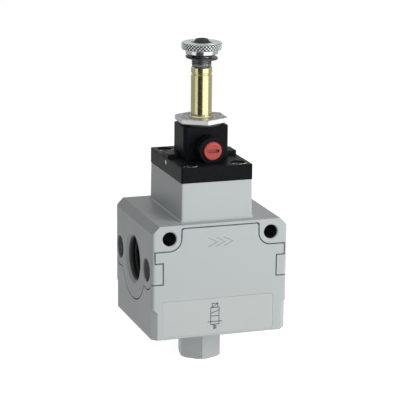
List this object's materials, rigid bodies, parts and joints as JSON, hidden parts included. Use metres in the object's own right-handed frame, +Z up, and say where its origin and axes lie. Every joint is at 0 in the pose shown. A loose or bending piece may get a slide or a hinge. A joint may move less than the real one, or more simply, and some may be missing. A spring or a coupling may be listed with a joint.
{
  "type": "pilot-operated isolation valve",
  "caption": "Solenoid-piloted 3/2 poppet isolation valve for compressed air with a slotted manual override, shown with its coil taken off.",
  "frame": {"origin": "middle of the exhaust hexagon's lower face, on the upright axis of stem and armature", "axes": "+Z up along the armature, -Y the front with the cover panel and override, air flows from the port on -X to the port on +X"},
  "size_m": [0.06, 0.0542, 0.1398],
  "materials": {
    "cast_body": "satin light grey lacquer on the casting",
    "cast_block": "satin light grey lacquer on the casting",
    "grey_cover": "fine satin moulding",
    "label": "smooth satin film",
    "nickel_hexagon": "nickel plating, turned",
    "black_plastic": "black, slight sheen",
    "red_plastic": "moulded, satin",
    "zinc_plate": "zinc plating, mottled",
    "yellow_tube": "yellow passivated, polished",
    "dark_steel": "turned, dark",
    "black_rubber": "smooth",
    "chrome_nut": "chromium plating over a knurl",
    "black_screws": "black oxide",
    "bright_plug": "bright",
    "inner_steel": "turned",
    "inner_brass": "turned",
    "inner_aluminium": "turned",
    "seal_rubber": "moulded"
  },
  "bodies": {
    "housing": {"valve_body": "cast_body", "lower_cover": "grey_cover", "label_film": "label", "exhaust_port": "nickel_hexagon", "exhaust_port_seal": "seal_rubber", "supply_seat_ring": "inner_brass", "seat_ring_seal": "seal_rubber", "guide_bush": "inner_brass", "bush_seal": "seal_rubber", "stem_seal": "seal_rubber", "return_spring": "inner_steel", "actuator_housing": "cast_block", "housing_gasket": "seal_rubber", "pilot_plate": "black_plastic", "plate_gasket": "seal_rubber", "channel_plug": "bright_plug", "plate_screws": "black_screws", "pilot_body": "black_plastic", "pilot_gasket": "seal_rubber", "pilot_screws": "black_screws", "override_retainer": "inner_steel", "pilot_nozzle": "inner_brass", "flange_nut": "zinc_plate", "flange_seal": "seal_rubber", "armature_tube": "yellow_tube", "fixed_core": "dark_steel", "plunger_spring": "inner_steel"},
    "poppet_train": {"piston": "inner_aluminium", "piston_seal": "seal_rubber", "valve_stem": "inner_steel", "supply_poppet_seal": "seal_rubber", "poppet": "inner_aluminium", "exhaust_poppet_seal": "seal_rubber", "poppet_keeper": "inner_steel", "stem_nut": "inner_steel"},
    "armature": {"plunger": "inner_steel", "plunger_seal": "seal_rubber", "override_pusher": "inner_steel"},
    "override": {"override_screw": "red_plastic", "override_seal": "seal_rubber"},
    "ring": {"coil_washer": "black_rubber"},
    "nut": {"knurled_nut": "chrome_nut"}
  },
  "joints": [
    {"name": "piston_stroke", "type": "slide", "parent": "housing", "child": "poppet_train", "axis": [0, 0, -1], "range_m": [0, 0.005], "stiffness_N_per_m": 1500, "springref_m": -0.005, "deforming": ["return_spring"]},
    {"name": "override_turn", "type": "hinge", "parent": "housing", "child": "override", "pos_m": [0, -0.014, 0.0944], "axis": [0, 1, 0], "range_deg": [0, 90]},
    {"name": "plunger_lift", "type": "slide", "parent": "housing", "child": "armature", "axis": [0, 0, 1], "range_m": [0, 0.0006], "stiffness_N_per_m": 500, "springref_m": -0.002, "deforming": ["plunger_spring"]},
    {"name": "nut_lift", "type": "slide", "parent": "housing", "child": "ring", "axis": [0, 0, 1], "range_m": [-0.003, 0.00075]},
    {"name": "nut_spin", "type": "hinge", "parent": "ring", "child": "nut", "pos_m": [0, 0, 0.1349], "axis": [0, 0, 1], "range_deg": [-1440, 360]}
  ],
  "couplings": [
    {"joint": "override_turn", "follows": "plunger_lift", "rad_per_m": 2618},
    {"joint": "nut_spin", "follows": "nut_lift", "rad_per_m": 8377.6}
  ]
}
